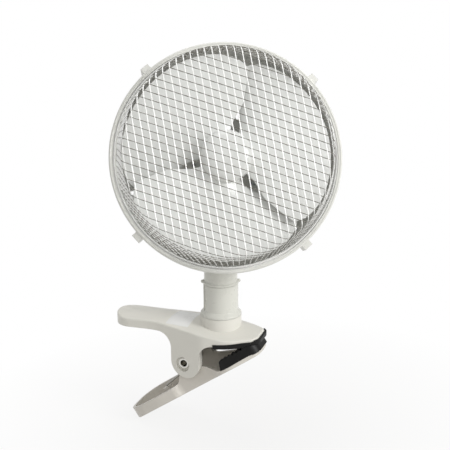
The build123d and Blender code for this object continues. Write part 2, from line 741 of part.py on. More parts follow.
FLANGE_FOOT = COLLAR_TOP + SLIDE_GAP
SPIGOT_FOOT = COLLAR_FOOT - SLIDE_GAP
with BuildPart() as stem:
    with BuildSketch(COLUMN_SECTION):
        with BuildLine():
            Polyline(
                (0, SPIGOT_FOOT),
                (SPIGOT_RADIUS, SPIGOT_FOOT),
                (SPIGOT_RADIUS, FLANGE_FOOT),
                (FLANGE_RADIUS, FLANGE_FOOT),
                (FLANGE_RADIUS, FLANGE_FOOT + FLANGE_HEIGHT),
                (STEM_RADIUS, FLANGE_FOOT + FLANGE_HEIGHT + FLANGE_FLARE),
                (STEM_RADIUS, STEM_TOP),
                (NECK_SPIGOT_RADIUS, STEM_TOP),
                (NECK_SPIGOT_RADIUS, STEM_TOP + NECK_SPIGOT_HEIGHT),
                (STEM_BORE, STEM_TOP + NECK_SPIGOT_HEIGHT),
                (STEM_BORE, SPIGOT_FOOT + STEM_FLOOR),
                (0, SPIGOT_FOOT + STEM_FLOOR),
                close=True,
            )
        make_face()
    revolve(axis=COLUMN_AXIS)
    with BuildSketch(COLUMN.offset(FLANGE_FOOT + FLANGE_HEIGHT + FLANGE_FLARE)):
        with PolarLocations(STEM_RADIUS, 1, start_angle=GROOVE_ANGLE):
            Rectangle(2 * GROOVE_DEPTH, GROOVE_WIDTH)
    extrude(amount=STEM_TOP, mode=Mode.SUBTRACT)
    with BuildSketch(COLUMN):
        Circle(SCREW_RADIUS + SCREW_FIT)
    extrude(amount=SPIGOT_FOOT + STEM_FLOOR + 1, mode=Mode.SUBTRACT)
finish(stem, "stem")

with BuildPart() as stem_washer:
    with BuildSketch(COLUMN.offset(SPIGOT_FOOT)):
        Circle(WASHER_RADIUS)
        Circle(SCREW_RADIUS + SCREW_FIT, mode=Mode.SUBTRACT)
    extrude(amount=-WASHER_THICKNESS)
finish(stem_washer, "stem_washer")


def pan_screw(plane, radius, length, head_radius, head_height):
    """Pan-head screw with a cross recess: head on the plane, shank along its normal."""
    with BuildPart() as screw:
        with BuildSketch(plane):
            Circle(radius)
        extrude(amount=length)
        with BuildSketch(plane):
            Circle(head_radius)
        extrude(amount=-head_height)
        crowned = screw.edges().filter_by(GeomType.CIRCLE).sort_by(Axis(plane.origin, plane.z_dir))[0]
        fillet(crowned, radius=head_height / 3)
        with BuildSketch(plane.offset(-head_height)):
            Rectangle(1.3 * head_radius, head_radius / 4)
            Rectangle(head_radius / 4, 1.3 * head_radius)
        extrude(amount=head_height / 2, mode=Mode.SUBTRACT)
    return screw.part


stem_screw_part = pan_screw(
    COLUMN.offset(SPIGOT_FOOT - WASHER_THICKNESS), SCREW_RADIUS, STEM_SCREW_LENGTH, SCREW_HEAD, SCREW_HEAD_HEIGHT
)
with BuildPart() as stem_screw:
    add(stem_screw_part)
finish(stem_screw, "stem_screw")


# ---------------------------------------------------------------- neck and tilt bolt

with BuildPart() as neck_socket:
    with BuildSketch(COLUMN_SECTION):
        with BuildLine():
            Polyline(
                (NECK_SPIGOT_RADIUS + SCREW_FIT, STEM_TOP),
                (BEAD_RADIUS - 0.8, STEM_TOP),
                (BEAD_RADIUS, STEM_TOP + 0.8),
                (BEAD_RADIUS, STEM_TOP + BEAD_HEIGHT - 0.8),
                (NECK_RADIUS, STEM_TOP + BEAD_HEIGHT),
                (NECK_RADIUS, NECK_TOP - NECK_SHOULDER),
                (NECK_RADIUS - NECK_SHOULDER, NECK_TOP),
                (0, NECK_TOP),
                (0, STEM_TOP + NECK_SPIGOT_HEIGHT + SCREW_FIT),
                (NECK_SPIGOT_RADIUS + SCREW_FIT, STEM_TOP + NECK_SPIGOT_HEIGHT + SCREW_FIT),
                close=True,
            )
        make_face()
    revolve(axis=COLUMN_AXIS)
    for side in (-1, 1):
        with Locations(STEM_FOOT + RIGHT * side * BEAD_RADIUS + Vector(0, 0, STEM_TOP + NUB_LIFT + NUB_RADIUS)):
            Sphere(NUB_RADIUS)
    with BuildSketch(COLUMN):
        Circle(NECK_SPIGOT_RADIUS + SCREW_FIT)
    extrude(amount=STEM_TOP + NECK_SPIGOT_HEIGHT, mode=Mode.SUBTRACT)
    with BuildSketch(TONGUE_SIDE):
        Circle(TONGUE_RADIUS)
        with Locations((0, (NECK_TOP - TILT_HEIGHT) / 2 - NECK_SHOULDER / 2)):
            Rectangle(2 * TONGUE_RADIUS, TILT_HEIGHT - NECK_TOP + NECK_SHOULDER)
    extrude(amount=TONGUE_THICKNESS / 2, both=True)
    with BuildSketch(TONGUE_SIDE):
        Circle(TILT_BOLT_RADIUS + RUNNING_FIT)
    extrude(amount=TONGUE_THICKNESS, both=True, mode=Mode.SUBTRACT)
finish(neck_socket, "neck_socket")

CLEVIS_INNER = TONGUE_THICKNESS / 2 + SLIDE_GAP
CLEVIS_OUTER = CLEVIS_INNER + CLEVIS_WALL
BOLT_SEAT = CLEVIS_OUTER + SLIDE_GAP

with BuildPart() as tilt_bolt:
    with BuildSketch(TONGUE_SIDE.offset(BOLT_SEAT + NUT_HEIGHT + 1)):
        Circle(TILT_BOLT_RADIUS)
    extrude(amount=-(2 * BOLT_SEAT + NUT_HEIGHT + 1))
    with BuildSketch(TONGUE_SIDE.offset(-BOLT_SEAT)):
        Circle(TILT_HEAD_RADIUS)
    extrude(amount=-TILT_HEAD_HEIGHT)
    dome_edge = tilt_bolt.edges().filter_by(GeomType.CIRCLE).sort_by(Axis(TILT_POINT, -RIGHT))[0]
    fillet(dome_edge, radius=TILT_HEAD_HEIGHT / 2)
finish(tilt_bolt, "tilt_bolt")

with BuildPart() as tilt_nut:
    with BuildSketch(TONGUE_SIDE.offset(BOLT_SEAT)):
        RegularPolygon(NUT_FLATS / 2, 6, major_radius=False)
        Circle(TILT_BOLT_RADIUS + SCREW_FIT, mode=Mode.SUBTRACT)
    extrude(amount=NUT_HEIGHT)
finish(tilt_nut, "tilt_nut")


# ---------------------------------------------------------------- retaining ring

LIP_BACK = RING_FRONT - RING_LIP_THICKNESS
FLANGE_SEAT = LIP_BACK - GRILLE_SHEET
RING_INNER = RING_RADIUS - RING_WALL

with BuildPart() as retaining_ring:
    with BuildSketch(HEAD_SECTION):
        with BuildLine():
            Polyline(
                (RING_INNER, RING_BACK),
                (RING_RADIUS, RING_BACK),
                (RING_RADIUS, RING_FRONT - 1),
                (RING_RADIUS - 1, RING_FRONT),
                (RING_RADIUS - 2.2, RING_FRONT - 0.6),
                (RING_LIP, RING_FRONT - 0.6),
                (RING_LIP, LIP_BACK),
                (RING_INNER, LIP_BACK),
                close=True,
            )
        make_face()
    revolve(axis=HEAD_AXIS)
    with BuildSketch(HEAD.offset(LUG_BACK)):
        with PolarLocations((RING_RADIUS + LUG_REACH) / 2, LUG_COUNT, start_angle=LUG_START):
            Rectangle(LUG_REACH - RING_RADIUS + 1.5, LUG_WIDTH)
    extrude(amount=RING_FRONT - 1.5 - LUG_BACK)
    with BuildSketch(HEAD.offset(LUG_BACK)):
        Circle(RING_RADIUS - 0.2)
    extrude(amount=RING_BACK - LUG_BACK, mode=Mode.SUBTRACT)
    with BuildSketch(HEAD.offset(LUG_BACK)):
        with PolarLocations((RING_INNER + LUG_REACH) / 2, LUG_COUNT, start_angle=LUG_START):
            Rectangle(LUG_REACH - RING_INNER, LUG_WIDTH)
    extrude(amount=LUG_HOOK)
finish(retaining_ring, "retaining_ring")


# ---------------------------------------------------------------- front grille

def grille_outline(inset):
    """Cross-section of the grille's skirt and face, drawn in by the sheet's thickness."""
    face_radius = (SKIRT_TOP ** 2 + (FACE_TOP - FACE_EDGE) ** 2) / (2 * (FACE_TOP - FACE_EDGE))
    corner = FACE_TOP - face_radius + sqrt(face_radius ** 2 - (SKIRT_TOP - inset) ** 2) - inset
    return [
        (SKIRT_FOOT - inset, FLANGE_SEAT),
        (SKIRT_TOP - inset, corner),
        (0, FACE_TOP - inset),
    ], face_radius - inset


def grille_block(inset):
    """Solid under the grille's outer or inner surface."""
    (foot, corner, top), face_radius = grille_outline(inset)
    half = acos(1 - (top[1] - corner[1]) / face_radius) / 2
    middle = (face_radius * sin(half), top[1] - face_radius * (1 - cos(half)))
    with BuildPart() as block:
        with BuildSketch(HEAD_SECTION) as section:
            with BuildLine():
                Polyline((0, FLANGE_SEAT), foot, corner)
                ThreePointArc(corner, middle, top)
                Line(top, (0, FLANGE_SEAT))
            make_face()
            knuckle = min(section.vertices(), key=lambda v: hypot(v.X - corner[0], v.Y - corner[1]))
            fillet(knuckle, radius=SKIRT_ROUND - inset)
        revolve(axis=HEAD_AXIS)
    return block.part


GRILLE_OUTER = grille_block(0)
GRILLE_INNER = grille_block(GRILLE_SHEET)

gap_side = MESH_SIDE - MESH_STRAND / sin(radians(abs(MESH_ANGLE_A - MESH_ANGLE_B)))
strand_a = Vector(cos(radians(MESH_ANGLE_A)), sin(radians(MESH_ANGLE_A)))
strand_b = Vector(cos(radians(MESH_ANGLE_B)), sin(radians(MESH_ANGLE_B)))
mesh_reach = int(2 * SKIRT_TOP / MESH_SIDE)
gap_places = [
    strand_a * (MESH_SIDE * i) + strand_b * (MESH_SIDE * j)
    for i in range(-mesh_reach, mesh_reach + 1)
    for j in range(-mesh_reach, mesh_reach + 1)
]
face_limit = SKIRT_TOP - SKIRT_ROUND - MESH_MARGIN
rhombus = [strand_a * gap_side / 2 + strand_b * gap_side / 2, strand_a * gap_side / 2 - strand_b * gap_side / 2]
gap_corners = [rhombus[0], rhombus[1], -rhombus[0], -rhombus[1]]
gap_places = [place for place in gap_places if place.length < face_limit + gap_side]
with BuildSketch() as face_mesh:
    with Locations(*gap_places):
        Polygon(*gap_corners, align=None)
    Circle(face_limit, mode=Mode.INTERSECT)
gap_area = max(gap.area for gap in face_mesh.faces())
face_gaps = [gap for gap in face_mesh.faces() if gap.area > MESH_LEAST * gap_area]

with BuildPart() as front_grille:
    add(GRILLE_OUTER)
    add(GRILLE_INNER, mode=Mode.SUBTRACT)
    with BuildSketch(HEAD.offset(FLANGE_SEAT)):
        Circle(GRILLE_FLANGE)
        Circle(SKIRT_FOOT - GRILLE_SHEET, mode=Mode.SUBTRACT)
    extrude(amount=GRILLE_SHEET)
    with BuildSketch(HEAD.offset(FACE_EDGE - SKIRT_ROUND)):
        add(face_gaps)
    extrude(amount=2 * SKIRT_ROUND, mode=Mode.SUBTRACT)
    for row, depth in enumerate(SKIRT_ROWS):
        for index in range(SKIRT_GAPS):
            turn = 2 * pi * (index + row / 2) / SKIRT_GAPS
            outward = HEAD.x_dir * cos(turn) + HEAD.y_dir * sin(turn)
            with BuildSketch(Plane(HEAD_CENTRE + FORWARD * depth + outward * (SKIRT_TOP - 3), FORWARD, outward)):
                Polygon(
                    (-SKIRT_GAP_HEIGHT / 2, 0),
                    (0, -SKIRT_GAP_WIDTH / 2),
                    (SKIRT_GAP_HEIGHT / 2, 0),
                    (0, SKIRT_GAP_WIDTH / 2),
                    align=None,
                )
    extrude(amount=8, mode=Mode.SUBTRACT)
print(f"front grille: {len(face_gaps)} gaps in the face, {SKIRT_GAPS * len(SKIRT_ROWS)} in the skirt")
finish(front_grille, "front_grille")


# ---------------------------------------------------------------- rear guard

GUARD_FRONT = FLANGE_SEAT
GUARD_INNER = GUARD_RIM - GUARD_WALL

with BuildPart() as rear_guard:
    with BuildSketch(HEAD_SECTION):
        with BuildLine():
            Polyline(
                (GUARD_HOLE, GUARD_BACK),
                (GUARD_BEND, GUARD_BACK),
                (GUARD_INNER, GUARD_KNEE),
                (GUARD_INNER, GUARD_FRONT),
                (GUARD_RIM, GUARD_FRONT),
                (GUARD_RIM, RING_BACK),
                (GUARD_FLANGE, RING_BACK),
                (GUARD_FLANGE, RING_BACK - GUARD_FLANGE_THICKNESS),
                (GUARD_RIM, RING_BACK - GUARD_FLANGE_THICKNESS),
                (GUARD_RIM, GUARD_KNEE),
                (GUARD_BEND, GUARD_BACK - GUARD_WALL),
                (GUARD_HOLE, GUARD_BACK - GUARD_WALL),
                close=True,
            )
        make_face()
    revolve(axis=HEAD_AXIS)
    with BuildSketch(HEAD.offset(GUARD_BACK - 2 * GUARD_WALL)):
        with PolarLocations((VENT_INNER + VENT_OUTER) / 2, VENT_COUNT):
            SlotOverall(VENT_OUTER - VENT_INNER, VENT_WIDTH)
    extrude(amount=GUARD_RIM, mode=Mode.SUBTRACT)
    guard_floor = GUARD_BACK - GUARD_WALL
    with BuildSketch(HEAD.offset(guard_floor)):
        with PolarLocations(MOTOR_SCREW_CIRCLE, 2):
            Circle(MOTOR_POST_RADIUS)
    extrude(amount=CORE_FRONT + BRACKET_RISE - guard_floor)
    with BuildSketch(HEAD.offset(GUARD_BACK + 1)):
        with PolarLocations(MOTOR_SCREW_CIRCLE, 2):
            Circle(MOTOR_SCREW_RADIUS + SCREW_FIT)
        with PolarLocations(POST_CIRCLE, POST_COUNT, start_angle=POST_START):
            Circle(SCREW_RADIUS + SCREW_FIT)
    extrude(amount=CORE_FRONT - GUARD_BACK, mode=Mode.SUBTRACT)
finish(rear_guard, "rear_guard")


# ---------------------------------------------------------------- motor

CORE_BACK = CORE_FRONT - CORE_LENGTH

with BuildPart() as motor_core:
    with BuildSketch(HEAD.offset(CORE_BACK)):
        Circle(CORE_RADIUS)
        Circle(CORE_BORE, mode=Mode.SUBTRACT)
        with PolarLocations(CORE_SLOT_CIRCLE, CORE_SLOTS, start_angle=180 / CORE_SLOTS):
            Circle(CORE_SLOT_RADIUS, mode=Mode.SUBTRACT)
        with PolarLocations(MOTOR_SCREW_CIRCLE, 2):
            Circle(MOTOR_SCREW_RADIUS + SCREW_FIT, mode=Mode.SUBTRACT)
    extrude(amount=CORE_LENGTH)
finish(motor_core, "motor_core")

with BuildPart() as field_winding:
    with BuildSketch(HEAD.offset(CORE_BACK)):
        with PolarLocations(CORE_SLOT_CIRCLE, CORE_SLOTS, start_angle=180 / CORE_SLOTS):
            Circle(CORE_SLOT_RADIUS)
    extrude(amount=CORE_LENGTH)
    with BuildSketch(HEAD.offset(CORE_FRONT), HEAD.offset(CORE_BACK - WINDING_HEIGHT)):
        Circle(WINDING_OUTER)
        Circle(WINDING_INNER, mode=Mode.SUBTRACT)
    extrude(amount=WINDING_HEIGHT)
    soft = field_winding.edges().filter_by(GeomType.CIRCLE).filter_by(lambda e: e.radius > WINDING_INNER - 1)
    fillet(soft.sort_by(Axis(HEAD_CENTRE, FORWARD))[-2:], radius=2)
finish(field_winding, "field_winding")


def motor_bracket(core_face, toward):
    """Bridge over one end of the winding, with legs on the core and a boss for its bush."""
    rise = toward * BRACKET_RISE
    with BuildPart() as bracket:
        with BuildSketch(HEAD.offset(core_face)):
            Rectangle(2 * CORE_RADIUS, BRACKET_WIDTH)
        extrude(amount=rise)
        with BuildSketch(HEAD.offset(core_face)):
            Rectangle(2 * (CORE_RADIUS - BRACKET_LEG), BRACKET_WIDTH)
        extrude(amount=rise - toward * BRACKET_THICKNESS, mode=Mode.SUBTRACT)
        with BuildSketch(HEAD.offset(core_face + rise)):
            Circle(BUSH_RADIUS + BRACKET_THICKNESS)
        extrude(amount=-toward * (BUSH_LENGTH - BRACKET_THICKNESS))
        with BuildSketch(HEAD.offset(core_face + rise)):
            Circle(BUSH_RADIUS)
            with PolarLocations(MOTOR_SCREW_CIRCLE, 2):
                Circle(MOTOR_SCREW_RADIUS + SCREW_FIT)
        extrude(amount=-rise, mode=Mode.SUBTRACT)
    return bracket.part


front_bracket_part = motor_bracket(CORE_FRONT, 1)
rear_bracket_part = motor_bracket(CORE_BACK, -1)
with BuildPart() as front_bracket:
    add(front_bracket_part)
finish(front_bracket, "front_bracket")
with BuildPart() as rear_bracket:
    add(rear_bracket_part)
finish(rear_bracket, "rear_bracket")

FRONT_BUSH = CORE_FRONT + BRACKET_RISE
REAR_BUSH = CORE_BACK - BRACKET_RISE
with BuildPart() as motor_bushes:
    with BuildSketch(HEAD.offset(FRONT_BUSH - BUSH_LENGTH), HEAD.offset(REAR_BUSH)):
        Circle(BUSH_RADIUS)
        Circle(SHAFT_RADIUS + RUNNING_FIT, mode=Mode.SUBTRACT)
    extrude(amount=BUSH_LENGTH)
finish(motor_bushes, "motor_bushes")

REAR_SEAT = CORE_BACK - BRACKET_RISE
MOTOR_SCREW_LENGTH = FRONT_BUSH - REAR_SEAT + MOTOR_POST_SINK
motor_screw_parts = [
    pan_screw(
        Plane(HEAD_CENTRE + FORWARD * REAR_SEAT + HEAD.x_dir * side * MOTOR_SCREW_CIRCLE, HEAD.x_dir, FORWARD),
        MOTOR_SCREW_RADIUS, MOTOR_SCREW_LENGTH, MOTOR_SCREW_HEAD, MOTOR_SCREW_HEAD_HEIGHT,
    )
    for side in (-1, 1)
]
with BuildPart() as motor_screws:
    for screw_part in motor_screw_parts:
        add(screw_part)
finish(motor_screws, "motor_screws")

with BuildPart() as rotor:
    with BuildSketch(HEAD.offset(CORE_BACK + 0.5)):
        Circle(CORE_BORE - ROTOR_GAP)
        Circle(SHAFT_RADIUS, mode=Mode.SUBTRACT)
    extrude(amount=CORE_LENGTH - 1)
finish(rotor, "rotor")

with BuildPart() as motor_shaft:
    with BuildSketch(HEAD.offset(SHAFT_BACK)):
        Circle(SHAFT_RADIUS)
    extrude(amount=SHAFT_FRONT - SHAFT_BACK)
finish(motor_shaft, "motor_shaft")


# ---------------------------------------------------------------- impeller

def blade(start):
    """One blade: a cambered, pitched plate trimmed to a rounded sector."""
    span = radians(BLADE_SPAN)
    turn = radians(start)
    reach = 1.2 * BLADE_TIP
    across = HEAD.x_dir * cos(turn) + HEAD.y_dir * sin(turn)
    chordwise = HEAD.y_dir * cos(turn) - HEAD.x_dir * sin(turn)
    pitch = radians(BLADE_PITCH)
    chord = chordwise * cos(pitch) + FORWARD * sin(pitch)
    sag = BLADE_CAMBER - sqrt(BLADE_CAMBER ** 2 - reach ** 2)
    with BuildPart() as plate:
        with BuildSketch(Plane(HEAD_CENTRE + FORWARD * BLADE_AHEAD, chord, -across)):
            with BuildLine():
                ThreePointArc((-reach, -sag), (0, 0), (reach, -sag))
                Line((reach, -sag), (reach, -sag - BLADE_THICKNESS))
                ThreePointArc((reach, -sag - BLADE_THICKNESS), (0, -BLADE_THICKNESS), (-reach, -sag - BLADE_THICKNESS))
                Line((-reach, -sag - BLADE_THICKNESS), (-reach, -sag))
            make_face()
        extrude(amount=-reach)
        with BuildSketch(Plane(HEAD_CENTRE - FORWARD * reach, across, FORWARD)) as sector:
            with BuildLine():
                CenterArc((0, 0), BLADE_TIP, -degrees(span) / 2, degrees(span))
                PolarLine((0, 0), BLADE_TIP, -degrees(span) / 2)
                PolarLine((0, 0), BLADE_TIP, degrees(span) / 2)
            make_face()
            fillet([v for v in sector.vertices() if hypot(v.X, v.Y) > HUB_RADIUS], radius=BLADE_ROUND)
        extrude(amount=2 * reach, mode=Mode.INTERSECT)
    return plate.part


blades = [blade(BLADE_START + 360 / BLADE_COUNT * index) for index in range(BLADE_COUNT)]
with BuildPart() as impeller:
    for blade_part in blades:
        add(blade_part)
    with BuildSketch(HEAD.offset(HUB_BACK)):
        Circle(HUB_RADIUS)
    extrude(amount=HUB_FRONT - HUB_BACK)
    front_edge = impeller.edges().filter_by(GeomType.CIRCLE).sort_by(Axis(HEAD_CENTRE, FORWARD))[-1]
    fillet(front_edge, radius=HUB_WALL)
    with BuildSketch(HEAD.offset(HUB_BACK)):
        Circle(HUB_RADIUS - HUB_WALL)
        Circle(HUB_BOSS, mode=Mode.SUBTRACT)
    extrude(amount=HUB_FRONT - HUB_BACK - HUB_WALL, mode=Mode.SUBTRACT)
    with BuildSketch(HEAD.offset(HUB_BACK)):
        Circle(SHAFT_RADIUS)
    extrude(amount=SHAFT_FRONT - HUB_BACK, mode=Mode.SUBTRACT)
finish(impeller, "impeller")


# ---------------------------------------------------------------- motor cover

COVER_FRONT = GUARD_BACK - GUARD_WALL
COVER_FLOOR = COVER_BACK + COVER_WALL

with BuildPart() as motor_cover:
    with BuildSketch(HEAD.offset(COVER_BACK)):
        Circle(COVER_RADIUS)
    extrude(amount=COVER_FRONT - COVER_BACK)
    back_edge = motor_cover.edges().filter_by(GeomType.CIRCLE).sort_by(Axis(HEAD_CENTRE, FORWARD))[0]
    fillet(back_edge, radius=COVER_ROUND)
    for side in (-1, 1):
        with BuildSketch(CLEVIS_SIDE.offset(side * CLEVIS_INNER)):
            Circle(TONGUE_RADIUS)
            with BuildLine():
                Polyline(
                    (-TONGUE_RADIUS, 0),
                    (TONGUE_RADIUS, 0),
                    (CLEVIS_FRONT, CLEVIS_RISE - COVER_RADIUS + 2 * COVER_WALL),
                    (-CLEVIS_REAR, CLEVIS_RISE - COVER_RADIUS + 2 * COVER_WALL),
                    close=True,
                )
            make_face()
        extrude(amount=side * CLEVIS_WALL)
    with BuildSketch(HEAD.offset(COVER_FLOOR)):
        Circle(COVER_RADIUS - COVER_WALL)
    extrude(amount=COVER_FRONT - COVER_FLOOR, mode=Mode.SUBTRACT)
    with BuildSketch(HEAD.offset(COVER_FRONT)):
        with PolarLocations(POST_CIRCLE, POST_COUNT, start_angle=POST_START):
            Circle(POST_RADIUS)
            Circle(SCREW_RADIUS + SCREW_FIT, mode=Mode.SUBTRACT)
    extrude(amount=-POST_LENGTH)
    with BuildSketch(HEAD.offset(COVER_BACK - 1)):
        with Locations((0, SWITCH_Y)):
            Rectangle(SWITCH_LENGTH, SWITCH_WIDTH)
        with Locations((0, GLAND_Y)):
            Circle(GLAND_RADIUS)
        for index in range(COVER_SLOTS):
            with Locations(((index - (COVER_SLOTS - 1) / 2) * COVER_SLOT_PITCH, COVER_SLOT_Y)):
                SlotOverall(COVER_SLOT_LENGTH, COVER_SLOT_WIDTH, rotation=90)
    extrude(amount=COVER_WALL + 1.5, mode=Mode.SUBTRACT)
    with BuildSketch(CLEVIS_SIDE):
        Circle(TILT_BOLT_RADIUS + RUNNING_FIT)
    extrude(amount=2 * CLEVIS_OUTER, both=True, mode=Mode.SUBTRACT)
finish(motor_cover, "motor_cover")

cover_screw_parts = [
    pan_screw(
        Plane(
            HEAD_CENTRE + FORWARD * GUARD_BACK
            + HEAD.x_dir * POST_CIRCLE * cos(radians(POST_START + 360 / POST_COUNT * index))
            + HEAD.y_dir * POST_CIRCLE * sin(radians(POST_START + 360 / POST_COUNT * index)),
            HEAD.x_dir,
            -FORWARD,
        ),
        SCREW_RADIUS, POST_LENGTH, SCREW_HEAD, SCREW_HEAD_HEIGHT,
    )
    for index in range(POST_COUNT)
]
with BuildPart() as cover_screws:
    for screw_part in cover_screw_parts:
        add(screw_part)
finish(cover_screws, "cover_screws")


# ---------------------------------------------------------------- switch and gland

ROCKER_SIDE = Plane(HEAD_CENTRE + FORWARD * COVER_BACK + HEAD_UP * SWITCH_Y, HEAD.x_dir, -HEAD_UP)

with BuildPart() as switch_body:
    with BuildSketch(HEAD.offset(COVER_BACK)):
        with Locations((0, SWITCH_Y)):
            Rectangle(SWITCH_LENGTH, SWITCH_WIDTH)
    extrude(amount=SWITCH_DEPTH)
    with BuildSketch(HEAD.offset(COVER_BACK)):
        with Locations((0, SWITCH_Y)):
            Rectangle(SWITCH_LENGTH + 2 * SWITCH_BEZEL, SWITCH_WIDTH + 2 * SWITCH_BEZEL)
    extrude(amount=-SWITCH_BEZEL_THICKNESS)
    with BuildSketch(HEAD.offset(COVER_BACK - SWITCH_BEZEL_THICKNESS)):
        with Locations((0, SWITCH_Y)):
            Rectangle(2 * (ROCKER_RADIUS + SLIDE_GAP), ROCKER_WIDTH + 2 * SLIDE_GAP)
    extrude(amount=SWITCH_BEZEL_THICKNESS + ROCKER_RADIUS + SLIDE_GAP, mode=Mode.SUBTRACT)
    with BuildSketch(ROCKER_SIDE):
        Circle(ROCKER_AXLE + RUNNING_FIT)
    extrude(amount=ROCKER_WIDTH / 2 + ROCKER_TIP + SLIDE_GAP / 2, both=True, mode=Mode.SUBTRACT)
finish(switch_body, "switch_body")

rocker_rest = radians(ROCKER_TURN / 2)
rocker_crease = -ROCKER_RADIUS / 2
rocker_rise = rocker_crease - 2 * ROCKER_RADIUS * tan(rocker_rest)
with BuildPart() as switch_rocker:
    with BuildSketch(ROCKER_SIDE):
        Circle(ROCKER_RADIUS)
        with Locations(Location((0, 0), ROCKER_TURN / 2)):
            for side in (-1, 1):
                with BuildLine():
                    Polyline(
                        (0, rocker_crease),
                        (side * 2 * ROCKER_RADIUS, rocker_rise),
                        (side * 2 * ROCKER_RADIUS, -3 * ROCKER_RADIUS),
                        (0, -3 * ROCKER_RADIUS),
                        close=True,
                    )
                make_face(mode=Mode.SUBTRACT)
    extrude(amount=ROCKER_WIDTH / 2, both=True)
    with BuildSketch(ROCKER_SIDE):
        Circle(ROCKER_AXLE)
    extrude(amount=ROCKER_WIDTH / 2 + ROCKER_TIP, both=True)
finish(switch_rocker, "switch_rocker")

with BuildPart() as cable_gland:
    with BuildSketch(HEAD.offset(COVER_FLOOR)):
        with Locations((0, GLAND_Y)):
            Circle(GLAND_RADIUS)
    extrude(amount=-(COVER_WALL + GLAND_REACH))
    with BuildSketch(HEAD.offset(COVER_BACK)):
        with Locations((0, GLAND_Y)):
            Circle(GLAND_FLANGE)
    extrude(amount=-GLAND_FLANGE_THICKNESS)
    with BuildSketch(HEAD.offset(COVER_FLOOR + 1)):
        with Locations((0, GLAND_Y)):
            Circle(GLAND_BORE)
    extrude(amount=-2 * GLAND_REACH, mode=Mode.SUBTRACT)
finish(cable_gland, "cable_gland")
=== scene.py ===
import json

import bpy
import numpy as np
from mathutils import Matrix, Vector


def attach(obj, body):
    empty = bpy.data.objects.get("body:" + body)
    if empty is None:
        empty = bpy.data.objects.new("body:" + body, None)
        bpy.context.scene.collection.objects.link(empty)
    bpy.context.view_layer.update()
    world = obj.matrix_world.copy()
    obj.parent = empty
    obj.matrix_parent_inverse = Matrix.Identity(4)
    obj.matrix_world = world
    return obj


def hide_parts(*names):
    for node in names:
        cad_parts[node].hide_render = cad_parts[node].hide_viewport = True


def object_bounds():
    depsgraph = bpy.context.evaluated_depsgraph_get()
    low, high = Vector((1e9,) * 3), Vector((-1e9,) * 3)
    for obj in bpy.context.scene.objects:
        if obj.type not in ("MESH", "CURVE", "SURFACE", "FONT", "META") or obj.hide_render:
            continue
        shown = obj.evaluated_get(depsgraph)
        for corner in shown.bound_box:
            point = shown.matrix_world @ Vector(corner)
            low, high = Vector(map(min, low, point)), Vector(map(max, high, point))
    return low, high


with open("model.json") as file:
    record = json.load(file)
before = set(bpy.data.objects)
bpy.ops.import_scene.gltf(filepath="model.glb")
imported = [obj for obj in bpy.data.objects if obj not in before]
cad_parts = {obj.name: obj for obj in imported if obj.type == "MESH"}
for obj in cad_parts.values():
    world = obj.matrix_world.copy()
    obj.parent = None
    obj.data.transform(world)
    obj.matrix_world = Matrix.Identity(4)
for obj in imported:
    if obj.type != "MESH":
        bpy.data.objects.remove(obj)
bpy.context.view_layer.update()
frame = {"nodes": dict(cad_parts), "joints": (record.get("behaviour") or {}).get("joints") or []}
nodes = frame["nodes"]

MM = 0.001                # the head's sizes below are in millimetres, the stage's in metres


# ---------------------------------------------------------------- the head's own axes

spin = next(joint for joint in frame["joints"] if joint["name"] == "impeller_spin")
HEAD_CENTRE = np.array(spin["pos_m"])      # middle of the retaining ring
FORWARD = np.array(spin["axis"])           # the way the air blows
RIGHT = np.cross((0.0, 0.0, 1.0), FORWARD)
RIGHT /= np.linalg.norm(RIGHT)
UP = np.cross(FORWARD, RIGHT)


def head_place(x, y, depth):
    """Place of a point given in millimetres right of, above and ahead of the ring's centre."""
    return HEAD_CENTRE + MM * (
        np.multiply.outer(x, RIGHT) + np.multiply.outer(y, UP) + np.multiply.outer(depth, FORWARD)
    )


# ---------------------------------------------------------------- surfaces

def grid_quads(rows, columns, close_rows=False, close_columns=False):
    """Four-sided faces of a rows by columns grid of points; a closed side joins back to its start."""
    row = np.arange(rows if close_rows else rows - 1)
    column = np.arange(columns if close_columns else columns - 1)
    row, column = np.meshgrid(row, column, indexing="ij")
    next_row = (row + 1) % rows
    next_column = (column + 1) % columns
    corners = [
        row * columns + column,
        next_row * columns + column,
        next_row * columns + next_column,
        row * columns + next_column,
    ]
    return np.stack(corners, -1).reshape(-1, 4)


def shell(name, parts, body, material, stands_for=(), smooth=40.0):
    """One piece from several parts, each a grid of points with one or more arrays of faces."""
    corners, polygons, base = [], [], 0
    for points, *face_sets in parts:
        points = np.asarray(points, float).reshape(-1, 3)
        corners.append(points)
        for faces in face_sets:
            polygons += (np.asarray(faces) + base).tolist()
        base += len(points)
    mesh = bpy.data.meshes.new(name)
    mesh.from_pydata(np.concatenate(corners).tolist(), [], polygons)
    mesh.update()
    piece = bpy.data.objects.new(name, mesh)
    bpy.context.scene.collection.objects.link(piece)
    mesh.materials.append(material)
    mesh.polygons.foreach_set("use_smooth", np.ones(len(mesh.polygons), bool))
    mesh.set_sharp_from_angle(angle=np.radians(smooth))
    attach(piece, body)
    if stands_for:
        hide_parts(*stands_for)
    return piece


